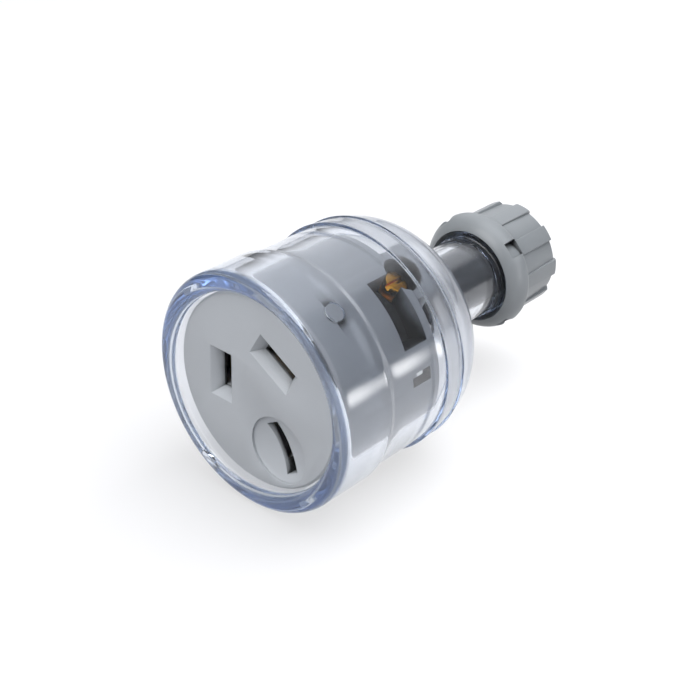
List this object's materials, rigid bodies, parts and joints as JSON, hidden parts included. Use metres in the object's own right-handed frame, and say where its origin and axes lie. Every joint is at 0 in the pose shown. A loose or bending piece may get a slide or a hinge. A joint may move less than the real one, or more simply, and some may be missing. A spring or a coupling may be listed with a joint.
{
  "type": "extension socket",
  "caption": "Round cord extension socket for flat-pin plugs: a grey socket base in a clear domed cover with a stepped rim, and a ribbed screw gland for the cord at the rear.",
  "frame": {"origin": "on the axis of the round body, in the plane of the cover's front rim, which the part stands on", "axes": "+Z along the axis from the pin entries to the cord gland; the earth entry lies towards -Y, and the active and neutral entries lie at 30 and 150 degrees from +X"},
  "size_m": [0.0424, 0.0424, 0.072],
  "materials": {
    "clear_polycarbonate": "clear, polished",
    "base_plastic": "fine matte moulding",
    "contact_brass": "rolled strip",
    "terminal_brass": "machined",
    "screw_brass": "machined, bright",
    "collet_plastic": "satin moulding",
    "nut_plastic": "satin moulding"
  },
  "bodies": {
    "socket": {"clear_cover": "clear_polycarbonate", "socket_base": "base_plastic", "active_contact": "contact_brass", "neutral_contact": "contact_brass", "earth_contact": "contact_brass", "active_terminal": "terminal_brass", "neutral_terminal": "terminal_brass", "earth_terminal": "terminal_brass", "active_screw": "screw_brass", "neutral_screw": "screw_brass", "earth_screw": "screw_brass"},
    "cord_grip": {"gland_collet": "collet_plastic"},
    "gland_nut": {"gland_nut": "nut_plastic"}
  },
  "joints": [
    {"name": "collet_slide", "type": "slide", "parent": "socket", "child": "cord_grip", "axis": [0, 0, 1], "range_m": [0, 0.004]},
    {"name": "nut_turn", "type": "hinge", "parent": "cord_grip", "child": "gland_nut", "pos_m": [0, 0, 0.063], "axis": [0, 0, 1], "range_deg": [0, 721]}
  ],
  "couplings": [
    {"joint": "nut_turn", "follows": "collet_slide", "rad_per_m": 3141.6}
  ]
}
